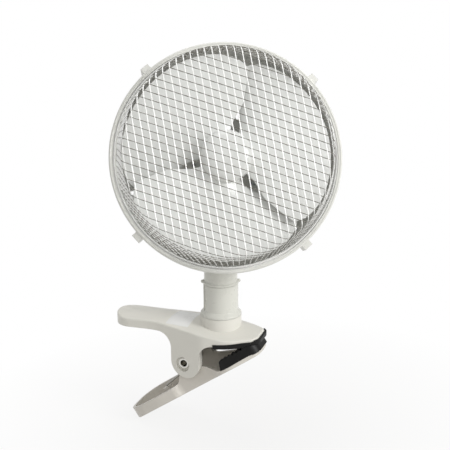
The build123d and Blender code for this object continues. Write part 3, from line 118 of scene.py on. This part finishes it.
def turned(profile, steps=144, poles=()):
    """Profile of (radius, depth) carried round the head's axis, clockwise in the (radius, depth) plane.

    Without poles the profile's end joins back to its start. With them, each end is closed by a fan of
    triangles round one point on the axis, at the depths that poles gives for the first and last end.
    """
    radius, depth = np.array(profile, float).T
    angle = np.linspace(0, 2 * np.pi, steps, endpoint=False)
    x = np.outer(radius, np.cos(angle))
    y = np.outer(radius, np.sin(angle))
    points = head_place(x, y, np.repeat(depth[:, None], steps, 1)).reshape(-1, 3)
    quads = grid_quads(len(radius), steps, close_rows=not poles, close_columns=True)
    if not poles:
        return points, quads
    step = np.arange(steps)
    after = (step + 1) % steps
    last_row = (len(radius) - 1) * steps
    first_pole = np.full(steps, len(points))
    last_pole = first_pole + 1
    fans = np.concatenate([
        np.stack([first_pole, step, after], -1),
        np.stack([last_pole, last_row + after, last_row + step], -1),
    ])
    ends = head_place(np.zeros(2), np.zeros(2), np.array(poles))
    return np.concatenate([points, ends]), quads, fans


# ---------------------------------------------------------------- finishes

COAT_ROUGHNESS = 0.12
NOISE_RANGE = (0.3, 0.7)  # where most of a noise's values lie
GRAIN_DEPTH = 0.0001      # metres
PATCHES_PER_MOTTLE = 6    # how much finer the roughness varies than the colour
EDGE_SAMPLES = 6


def shade(red, green, blue):
    """Linear colour of 0 to 255 display values."""
    c = np.array([red, green, blue]) / 255.0
    return (*np.where(c <= 0.04045, c / 12.92, ((c + 0.055) / 1.055) ** 2.4), 1.0)


def noise(tree, place, scale, detail=3.0):
    """Noise texture that stays with the object."""
    texture = tree.nodes.new("ShaderNodeTexNoise")
    texture.inputs["Scale"].default_value = scale
    texture.inputs["Detail"].default_value = detail
    tree.links.new(place.outputs["Object"], texture.inputs["Vector"])
    return texture.outputs["Fac"]


def finish(name, colour, rough, metallic=0.0, mottle=0.03, mottle_scale=30.0, grain=0.0, grain_scale=2500.0,
           rough_spread=0.06, edge=0.0, coat=0.0, tint=None, specular=0.5):
    """Moulded, painted or metal finish.

    Colour is the plain colour times a slow noise; roughness follows a second noise; the grain is a fine
    noise used as bump; edge is the radius in millimetres by which sharp edges catch the light as if rounded.
    """
    material = bpy.data.materials.new(name)
    material.use_nodes = True
    tree = material.node_tree
    link = tree.links.new
    skin = tree.nodes["Principled BSDF"]
    skin.inputs["Metallic"].default_value = metallic
    skin.inputs["Specular IOR Level"].default_value = specular
    skin.inputs["Coat Weight"].default_value = coat
    skin.inputs["Coat Roughness"].default_value = COAT_ROUGHNESS
    place = tree.nodes.new("ShaderNodeTexCoord")

    blend = tree.nodes.new("ShaderNodeMix")
    blend.data_type = "RGBA"
    dark, light = np.array(colour[:3]), np.array((tint or colour)[:3])
    blend.inputs[6].default_value = (*np.clip(dark * (1 - mottle), 0, 1), 1.0)
    blend.inputs[7].default_value = (*np.clip(light * (1 + mottle), 0, 1), 1.0)
    link(noise(tree, place, mottle_scale, detail=4.0), blend.inputs[0])
    link(blend.outputs[2], skin.inputs["Base Color"])

    spread = tree.nodes.new("ShaderNodeMapRange")
    spread.inputs["From Min"].default_value, spread.inputs["From Max"].default_value = NOISE_RANGE
    spread.inputs["To Min"].default_value = rough - rough_spread
    spread.inputs["To Max"].default_value = rough + rough_spread
    link(noise(tree, place, mottle_scale * PATCHES_PER_MOTTLE), spread.inputs["Value"])
    link(spread.outputs["Result"], skin.inputs["Roughness"])

    bump = tree.nodes.new("ShaderNodeBump")
    bump.inputs["Strength"].default_value = grain
    bump.inputs["Distance"].default_value = GRAIN_DEPTH
    link(noise(tree, place, grain_scale), bump.inputs["Height"])
    link(bump.outputs["Normal"], skin.inputs["Normal"])
    if edge:
        rounding = tree.nodes.new("ShaderNodeBevel")
        rounding.samples = EDGE_SAMPLES
        rounding.inputs["Radius"].default_value = edge * MM
        link(rounding.outputs["Normal"], bump.inputs["Normal"])
    return material


# Moulded plastics of the clip, column, head and impeller
shell_plastic = finish(
    "shell_plastic", shade(223, 221, 213), 0.36, grain=0.10, edge=0.5, mottle=0.015, tint=shade(224, 222, 213)
)
# Lower jaw: the upper jaw's plastic darkened as painted shade, for its downward-facing sides
lower_plastic_painted_shade = finish(
    "lower_plastic_painted_shade", shade(211, 207, 199), 0.36, grain=0.10, edge=0.5, mottle=0.015, tint=shade(212, 207, 198)
)
column_plastic = finish("column_plastic", shade(214, 214, 206), 0.30, grain=0.06, edge=0.5, mottle=0.01)
guard_plastic = finish("guard_plastic", shade(220, 220, 214), 0.32, grain=0.08, edge=0.4)
# Rear guard: the head's plastic lightened as painted light, to lift the shade inside the guard behind the
# blades
back_plastic_painted_light = finish("back_plastic_painted_light", shade(240, 240, 236), 0.34, grain=0.06, edge=0.4, mottle=0.015)
blade_plastic = finish("blade_plastic", shade(228, 229, 226), 0.22, grain=0.04, edge=0.4, mottle=0.01)
switch_plastic = finish("switch_plastic", shade(30, 30, 31), 0.34, grain=0.15, edge=0.3, mottle=0.08)

# Enamel, rubber and the sticker's film
mesh_enamel = finish(
    "mesh_enamel", shade(242, 242, 240), 0.26, grain=0.25, grain_scale=1200.0, mottle=0.02, coat=0.3
)
# Cross strands: the same white enamel darkened to grey as painted shade, standing in for their shaded
# undersides
mesh_painted_shade = finish("mesh_painted_shade", shade(112, 109, 101), 0.40, grain=0.25, grain_scale=1200.0, mottle=0.05)
pad_rubber = finish(
    "pad_rubber", shade(9, 9, 8), 0.46, grain=0.5, grain_scale=1500.0, edge=0.5, mottle=0.15,
    tint=shade(12, 11, 9), specular=0.25,
)
gland_rubber = finish("gland_rubber", shade(200, 200, 194), 0.50, grain=0.25, edge=0.3)
label_film = finish("label_film", shade(236, 236, 234), 0.22, grain=0.05, mottle=0.01)

# Metals
rivet_metal = finish("rivet_metal", shade(206, 204, 198), 0.22, metallic=1.0, grain=0.15, edge=0.2)
spring_steel = finish("spring_steel", shade(178, 176, 170), 0.30, metallic=1.0, grain=0.2)
zinc_steel = finish("zinc_steel", shade(188, 190, 190), 0.34, metallic=1.0, grain=0.3, mottle=0.08)
shaft_steel = finish("shaft_steel", shade(176, 176, 174), 0.24, metallic=1.0, grain=0.15)
core_steel = finish("core_steel", shade(96, 96, 98), 0.42, metallic=0.9, grain=0.4, mottle=0.12)
winding_enamel = finish(
    "winding_enamel", shade(146, 74, 36), 0.30, metallic=0.4, grain=0.5, grain_scale=1800.0, mottle=0.15
)
bush_bronze = finish("bush_bronze", shade(150, 112, 70), 0.40, metallic=1.0, grain=0.4, mottle=0.10)

FINISHES = {
    shell_plastic: ["upper_jaw"],
    lower_plastic_painted_shade: ["lower_jaw"],
    column_plastic: ["stem", "neck_socket"],
    guard_plastic: ["retaining_ring", "motor_cover"],
    back_plastic_painted_light: ["rear_guard"],
    blade_plastic: ["impeller"],
    switch_plastic: ["switch_body", "switch_rocker"],
    mesh_enamel: ["front_grille"],
    pad_rubber: ["upper_pad", "lower_pad"],
    gland_rubber: ["cable_gland"],
    label_film: ["lever_label"],
    rivet_metal: ["pivot_rivet"],
    spring_steel: ["torsion_spring"],
    zinc_steel: ["stem_washer", "stem_screw", "tilt_bolt", "tilt_nut", "front_bracket", "rear_bracket",
                 "motor_screws", "cover_screws"],
    shaft_steel: ["motor_shaft"],
    core_steel: ["motor_core", "rotor"],
    winding_enamel: ["field_winding"],
    bush_bronze: ["motor_bushes"],
}
for material, node_names in FINISHES.items():
    for node_name in node_names:
        skins = nodes[node_name].data.materials
        skins.clear()
        skins.append(material)


# ---------------------------------------------------------------- front grille of raised mesh

FACE_EDGE = 35.5          # depth of the face where it meets the skirt
FACE_TOP = 38.5           # depth of the face at its middle
KNUCKLE = 6.0             # radius of the bend from face to skirt
SKIRT_TOP = 80.0          # radius of the skirt at the face
SKIRT_FOOT = 86.0         # radius of the skirt where it leaves the ring
SKIRT_SEAT = 2.2          # depth of the skirt's foot
FLANGE_EDGE = 88.0        # outer radius of the flange
FLANGE_BACK = 1.7         # depth of the flange's rear and front faces
FLANGE_FRONT = 2.6
HEM_RISE = 5.4            # depth of the crest of the flange's turned-up inner edge
HEM_SHOULDER = 5.0
HEM_WIDTH = 0.8
HEM_FLARE = 0.2           # how far the turned-up edge widens at its foot
HEM_TUCK = 0.5            # how far the flange's rear face reaches under the turned-up edge
MESH_SPACING = 5.5        # between neighbouring strands of one family, flat
MESH_TURNS = (-19.5, -82.0)       # directions of the two families, in degrees from the head's right-hand side
STRAND_WIDE = (0.56, 0.95)        # width of each family's strands
STRAND_LEAN = (-50.0, 30.0)       # degrees by which each family's strands are rolled over
STRAND_THICK = 0.55
STRAND_SIDES = 6
STRAND_SWELL = 0.22       # how much a strand swells at a crossing
STEPS_PER_CELL = 4
HEADING_STEP = 0.05       # short way ahead that gives a strand's direction
NO_LENGTH = 1e-6


def formed(flat):
    """Where a ring of the flat sheet goes when the sheet is pressed.

    The flat radius is kept as arc length over the domed face, round the knuckle and down the skirt.
    Gives the ring's radius and depth, its normal's parts outward and forward, and the reach: the whole
    way from the middle to the skirt's foot.
    """
    dome = (SKIRT_TOP ** 2 + (FACE_TOP - FACE_EDGE) ** 2) / (2 * (FACE_TOP - FACE_EDGE))
    down = np.array([SKIRT_FOOT - SKIRT_TOP, SKIRT_SEAT - FACE_EDGE])
    down /= np.hypot(*down)
    lean = np.arctan2(-down[1], down[0])
    face_angle = np.arcsin((SKIRT_TOP - KNUCKLE) / dome)
    face_run = dome * face_angle
    face_end = np.array([dome * np.sin(face_angle), FACE_TOP - dome + dome * np.cos(face_angle)])
    bend_run = KNUCKLE * (lean - face_angle)
    centre = face_end - KNUCKLE * np.array([np.sin(face_angle), np.cos(face_angle)])
    skirt_start = centre + KNUCKLE * np.array([np.sin(lean), np.cos(lean)])
    reach = face_run + bend_run + (skirt_start[1] - SKIRT_SEAT) / -down[1]
    on_face = np.clip(flat, 0, face_run) / dome
    on_bend = face_angle + np.clip(flat - face_run, 0, bend_run) / KNUCKLE
    on_skirt = np.clip(flat - face_run - bend_run, 0, None)
    inside = flat <= face_run
    radius = np.where(
        inside,
        dome * np.sin(on_face),
        centre[0] + KNUCKLE * np.sin(on_bend) + on_skirt * down[0],
    )
    depth = np.where(
        inside,
        FACE_TOP - dome + dome * np.cos(on_face),
        centre[1] + KNUCKLE * np.cos(on_bend) + on_skirt * down[1],
    )
    angle = np.where(inside, on_face, on_bend)
    return radius, depth, np.sin(angle), np.cos(angle), reach


def unit(vectors):
    """Vectors drawn out to a length of one."""
    return vectors / np.linalg.norm(vectors, axis=-1, keepdims=True)


def pressed(flat):
    """Places and outward normals in the scene of points of the flat sheet."""
    distance = np.hypot(flat[..., 0], flat[..., 1])
    radius, depth, out, fore, _ = formed(distance)
    away = flat / np.maximum(distance, NO_LENGTH)[..., None]
    place = head_place(radius * away[..., 0], radius * away[..., 1], depth)
    normal = head_place(out * away[..., 0], out * away[..., 1], fore) - HEAD_CENTRE
    return place, unit(normal)


def strands(turn, wide, lean):
    """One family of strands: straight lines of the flat sheet, each carried over the formed surface.

    A line is (k * spacing) across the family and t along it. Its section is a flattened six-sided
    loop, leaning about the strand, and the strand swells a little at each crossing.
    """
    reach = formed(np.zeros(1))[4]
    along = np.array([np.cos(np.radians(turn)), np.sin(np.radians(turn))])
    across = np.array([-along[1], along[0]])
    crossing_angle = np.radians(MESH_TURNS[0] - MESH_TURNS[1])
    crossing = abs(np.sin(crossing_angle))
    cell = MESH_SPACING / crossing
    lines = int(reach / MESH_SPACING)
    offsets = np.arange(-lines, lines + 1) * MESH_SPACING
    half = np.sqrt(np.maximum(reach ** 2 - offsets ** 2, 0))
    steps = int(np.ceil(reach / cell)) * STEPS_PER_CELL
    shift = offsets * np.cos(crossing_angle) / crossing
    t = np.arange(-steps, steps + 1) * (cell / STEPS_PER_CELL)
    t = np.clip(t[None, :] + (shift % cell)[:, None], -half[:, None], half[:, None])

    flat = offsets[:, None, None] * across + t[..., None] * along
    centre, outward = pressed(flat)
    heading = unit(pressed(flat + HEADING_STEP * along)[0] - centre)
    side = unit(np.cross(heading, outward))
    normal = np.cross(side, heading)

    loop = np.linspace(0, 2 * np.pi, STRAND_SIDES, endpoint=False) + np.pi / STRAND_SIDES
    a = np.cos(loop) * wide / 2
    b = np.sin(loop) * STRAND_THICK / 2
    lean = np.radians(lean)
    section_side = (a * np.cos(lean) - b * np.sin(lean))[:, None]
    section_up = (a * np.sin(lean) + b * np.cos(lean) - STRAND_THICK)[:, None]
    swell = MM * (1.0 + STRAND_SWELL * np.cos(2 * np.pi * (t - shift[:, None]) / cell))
    points = centre[:, :, None] + swell[:, :, None, None] * (
        section_side * side[:, :, None] + section_up * normal[:, :, None]
    )

    first = np.arange(t.size).reshape(t.shape)
    live = (t[:, 1:] - t[:, :-1]) > NO_LENGTH
    start = first[:, :-1][live][:, None] * STRAND_SIDES
    end = first[:, 1:][live][:, None] * STRAND_SIDES
    corner = np.arange(STRAND_SIDES)
    after = (corner + 1) % STRAND_SIDES
    walls = np.stack([start + corner, end + corner, end + after, start + after], -1).reshape(-1, 4)
    row = np.flatnonzero(live.any(1))
    begins = first[row, live[row].argmax(1)]
    ends = first[row, t.shape[1] - 1 - live[row, ::-1].argmax(1)]
    begins, ends = begins[:, None] * STRAND_SIDES, ends[:, None] * STRAND_SIDES
    caps = np.concatenate([begins + corner, ends + corner[::-1]])
    used = np.unique(walls)
    return points.reshape(-1, 3)[used], np.searchsorted(used, walls), np.searchsorted(used, caps)


def grille_hem():
    """Flat flange that the ring clamps, with its turned-up inner edge, carried round the head's axis."""
    inner = SKIRT_FOOT - HEM_WIDTH
    return turned([
        (inner, FLANGE_FRONT),
        (inner, HEM_SHOULDER),
        (SKIRT_FOOT - HEM_WIDTH / 2, HEM_RISE),
        (SKIRT_FOOT, HEM_SHOULDER),
        (SKIRT_FOOT + HEM_FLARE, FLANGE_FRONT),
        (FLANGE_EDGE, FLANGE_FRONT),
        (FLANGE_EDGE, FLANGE_BACK),
        (SKIRT_FOOT - HEM_TUCK, FLANGE_BACK),
    ])


shell(
    "grille_mesh", [strands(MESH_TURNS[1], STRAND_WIDE[1], STRAND_LEAN[1]), grille_hem()],
    "head", mesh_enamel, ("front_grille",), smooth=60.0,
)
# The cross strands carry the enamel darkened as painted shade
shell(
    "grille_cross_strands", [strands(MESH_TURNS[0], STRAND_WIDE[0], STRAND_LEAN[0])],
    "head", mesh_painted_shade, smooth=60.0,
)


# ---------------------------------------------------------------- impeller

# Half section of the hub, from the middle of its front round its rim to the middle of its inside
HUB = [
    (4.5, 15.5), (9.0, 15.3), (15.0, 14.2), (18.4, 12.4), (19.8, 9.6), (20.0, 6.0),
    (20.0, -14.0), (17.5, -14.0), (17.5, 11.0), (6.0, 12.6),
]
HUB_POLES = (15.6, 12.8)  # depths of the hub's front and inside on the axis
HUB_STEPS = 96
BLADES = 3
BLADE_START = 10.0        # degrees from the head's right-hand side to the middle of the first blade
BLADE_ROOT = 18.6         # radius where the blades start, inside the hub's wall
BLADE_TIP = 81.0
BLADE_CORNER = 9.0        # how far the tip draws in at the ends of the chord
BLADE_CORNER_POWER = 8    # the higher, the sharper the tip's corners
BLADE_ROOT_SPAN = 102.0   # degrees covered at the hub
BLADE_SPAN = 124.0        # degrees covered further out, where neighbours lap over each other
BLADE_WIDENS = (20.0, 26.0)       # radius where the blade starts to widen, and over how much radius
BLADE_SWEEP = 8.0         # degrees by which the tip lies ahead of the root
BLADE_MIDDLE = 3.0        # depth of the blade's middle line
BLADE_SAG = 5.0           # how far the chord's ends fall behind its middle
BLADE_RISE = 4.5          # leading edge ahead of the blade's middle line, and trailing edge behind it
BLADE_ROOT_RISE = 0.45    # share of that rise on the axis
BLADE_THICK = 1.8
BLADE_EDGE = 0.02         # share of the squared thickness that is left at the chord's ends


def blade(middle, chord_steps=40, reach_steps=36):
    """Swept blade: an arc of a screw surface between the hub and the tip, as a closed thin shell.

    Along the chord s goes from -1 at the leading edge to 1 at the trailing edge; the angle is the span
    times s / 2, the depth falls with s as on a screw and sags with its square, and the tip draws in at
    the ends of the chord with a high power of s.
    """
    s = np.sin(np.linspace(-1.0, 1.0, chord_steps) * np.pi / 2)
    out = np.linspace(0.0, 1.0, reach_steps)[:, None]
    tip = BLADE_TIP - BLADE_CORNER * np.abs(s) ** BLADE_CORNER_POWER
    radius = BLADE_ROOT + (tip - BLADE_ROOT) * out
    widen = np.clip((radius - BLADE_WIDENS[0]) / BLADE_WIDENS[1], 0.0, 1.0)
    span = BLADE_ROOT_SPAN + (BLADE_SPAN - BLADE_ROOT_SPAN) * widen * widen * (3 - 2 * widen)
    sweep = BLADE_SWEEP * (radius - BLADE_ROOT) / (BLADE_TIP - BLADE_ROOT)
    angle = np.radians(middle + sweep + span * s / 2)
    rise = BLADE_RISE * (BLADE_ROOT_RISE + (1 - BLADE_ROOT_RISE) * radius / BLADE_TIP)
    depth = BLADE_MIDDLE - rise * s - BLADE_SAG * s ** 2
    half = BLADE_THICK / 2 * np.sqrt(np.clip(1.0 + BLADE_EDGE - s ** 2, BLADE_EDGE, 1.0))
    x, y = radius * np.cos(angle), radius * np.sin(angle)
    points = head_place(
        np.concatenate([x, x[:, ::-1]], 1),
        np.concatenate([y, y[:, ::-1]], 1),
        np.concatenate([depth + half, (depth - half)[:, ::-1]], 1),
    )
    ring = 2 * chord_steps
    walls = grid_quads(reach_steps, ring, close_columns=True)
    k = np.arange(chord_steps - 1)
    root_end = np.stack([k + 1, ring - 2 - k, ring - 1 - k, k], -1)
    tip_end = (reach_steps - 1) * ring + root_end[:, ::-1]
    return points, walls, root_end, tip_end


shell(
    "impeller_wheel",
    [blade(BLADE_START + 360 / BLADES * turn) for turn in range(BLADES)]
    + [turned(HUB, steps=HUB_STEPS, poles=HUB_POLES)],
    "fan_wheel", blade_plastic, ("impeller",), smooth=50.0,
)


# ---------------------------------------------------------------- floor and surroundings

FLOOR_HALF = 6.0
FLOOR_COLOUR = (0.62, 0.61, 0.59, 1.0)
FLOOR_FADE = (0.08, 0.30) # distances over which the floor's own shade gives way to the backdrop's white
FLOOR_WHITE = (0.80, 1.0) # share of white at those distances
WHITE = (1.0, 1.0, 1.0, 1.0)
SOFT_LIGHT = 0.50


def white_floor_paint():
    """Matt floor that keeps the shadow near the fan and shows plain white to the camera further off."""
    paint = bpy.data.materials.new("floor_paint")
    paint.use_nodes = True
    tree = paint.node_tree
    tree.nodes.clear()
    link = tree.links.new
    out = tree.nodes.new("ShaderNodeOutputMaterial")
    matt = tree.nodes.new("ShaderNodeBsdfDiffuse")
    matt.inputs["Color"].default_value = FLOOR_COLOUR
    glow = tree.nodes.new("ShaderNodeEmission")
    glow.inputs["Color"].default_value = WHITE
    place = tree.nodes.new("ShaderNodeTexCoord")
    distance = tree.nodes.new("ShaderNodeVectorMath")
    distance.operation = "LENGTH"
    fade = tree.nodes.new("ShaderNodeMapRange")
    fade.inputs["From Min"].default_value, fade.inputs["From Max"].default_value = FLOOR_FADE
    fade.inputs["To Min"].default_value, fade.inputs["To Max"].default_value = FLOOR_WHITE
    link(place.outputs["Object"], distance.inputs[0])
    link(distance.outputs["Value"], fade.inputs["Value"])

    ray = tree.nodes.new("ShaderNodeLightPath")
    seen = ray.outputs["Is Camera Ray"]
    for other in ("Is Glossy Ray", "Is Transmission Ray"):
        either = tree.nodes.new("ShaderNodeMath")
        either.operation = "MAXIMUM"
        link(seen, either.inputs[0])
        link(ray.outputs[other], either.inputs[1])
        seen = either.outputs[0]
    amount = tree.nodes.new("ShaderNodeMath")
    amount.operation = "MULTIPLY"
    link(seen, amount.inputs[0])
    link(fade.outputs["Result"], amount.inputs[1])
    mix = tree.nodes.new("ShaderNodeMixShader")
    link(amount.outputs[0], mix.inputs[0])
    link(matt.outputs[0], mix.inputs[1])
    link(glow.outputs[0], mix.inputs[2])
    link(mix.outputs[0], out.inputs["Surface"])
    return paint


def studio_world():
    """Soft even light all round, which the camera sees as plain white."""
    world = bpy.data.worlds.new("studio")
    world.use_nodes = True
    tree = world.node_tree
    tree.nodes.clear()
    out = tree.nodes.new("ShaderNodeOutputWorld")
    ray = tree.nodes.new("ShaderNodeLightPath")
    mix = tree.nodes.new("ShaderNodeMixShader")
    tree.links.new(ray.outputs["Is Camera Ray"], mix.inputs[0])
    for socket, strength in ((1, SOFT_LIGHT), (2, 1.0)):
        light = tree.nodes.new("ShaderNodeBackground")
        light.inputs["Color"].default_value = WHITE
        light.inputs["Strength"].default_value = strength
        tree.links.new(light.outputs[0], mix.inputs[socket])
    tree.links.new(mix.outputs[0], out.inputs["Surface"])
    return world


floor_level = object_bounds()[0][2]
floor_mesh = bpy.data.meshes.new("floor")
floor_mesh.from_pydata(
    [(x * FLOOR_HALF, y * FLOOR_HALF, floor_level) for x, y in ((-1, -1), (1, -1), (1, 1), (-1, 1))],
    [], [(0, 1, 2, 3)],
)
floor_mesh.materials.append(white_floor_paint())
floor = bpy.data.objects.new("floor", floor_mesh)
bpy.context.scene.collection.objects.link(floor)
bpy.context.scene.world = studio_world()


# ---------------------------------------------------------------- lamps and camera

LIT_POINT = (-0.03, 0.0, 0.06)
CAMERA_STAND = Vector((0.1844, -0.6029, 0.2644))
CAMERA_AIM = Vector((-0.0290, 0.0005, 0.0965))
CAMERA_ROLL = np.radians(-0.4)
SENSOR_WIDTH = 36.0
FOCAL_PIXELS = 799.0      # focal length and picture width, in pixels of the photograph
PICTURE_PIXELS = 450.0
NEAREST_SEEN = 0.01


def softbox(name, stand, size, power):
    """Square lamp at a place, turned to shine at the lit point."""
    lamp = bpy.data.lights.new(name, "AREA")
    lamp.size = size
    lamp.energy = power
    holder = bpy.data.objects.new(name, lamp)
    bpy.context.scene.collection.objects.link(holder)
    holder.location = stand
    holder.rotation_euler = (Vector(LIT_POINT) - Vector(stand)).to_track_quat("-Z", "Y").to_euler()


def product_view():
    """Camera at its stand, looking at the aim, with its picture rolled a little."""
    view = bpy.data.cameras.new("product_view")
    view.sensor_width = SENSOR_WIDTH
    view.lens = SENSOR_WIDTH * FOCAL_PIXELS / PICTURE_PIXELS
    view.clip_start = NEAREST_SEEN
    camera = bpy.data.objects.new("product_view", view)
    bpy.context.scene.collection.objects.link(camera)
    sight = (CAMERA_AIM - CAMERA_STAND).normalized()
    level = sight.cross(Vector((0, 0, 1))).normalized()
    rise = level.cross(sight)
    across = level * np.cos(CAMERA_ROLL) + rise * np.sin(CAMERA_ROLL)
    above = rise * np.cos(CAMERA_ROLL) - level * np.sin(CAMERA_ROLL)
    turn = Matrix((across, above, -sight)).transposed().to_4x4()
    camera.matrix_world = Matrix.Translation(CAMERA_STAND) @ turn
    return camera


softbox("key_softbox", stand=(1.05, -0.25, 0.60), size=0.40, power=9.0)
softbox("top_softbox", stand=(-0.15, 0.05, 1.3), size=0.8, power=5.5)
softbox("front_softbox", stand=(0.25, -1.3, 0.9), size=0.7, power=2.5)
bpy.context.scene.camera = product_view()
bpy.context.scene.view_settings.view_transform = "Standard"
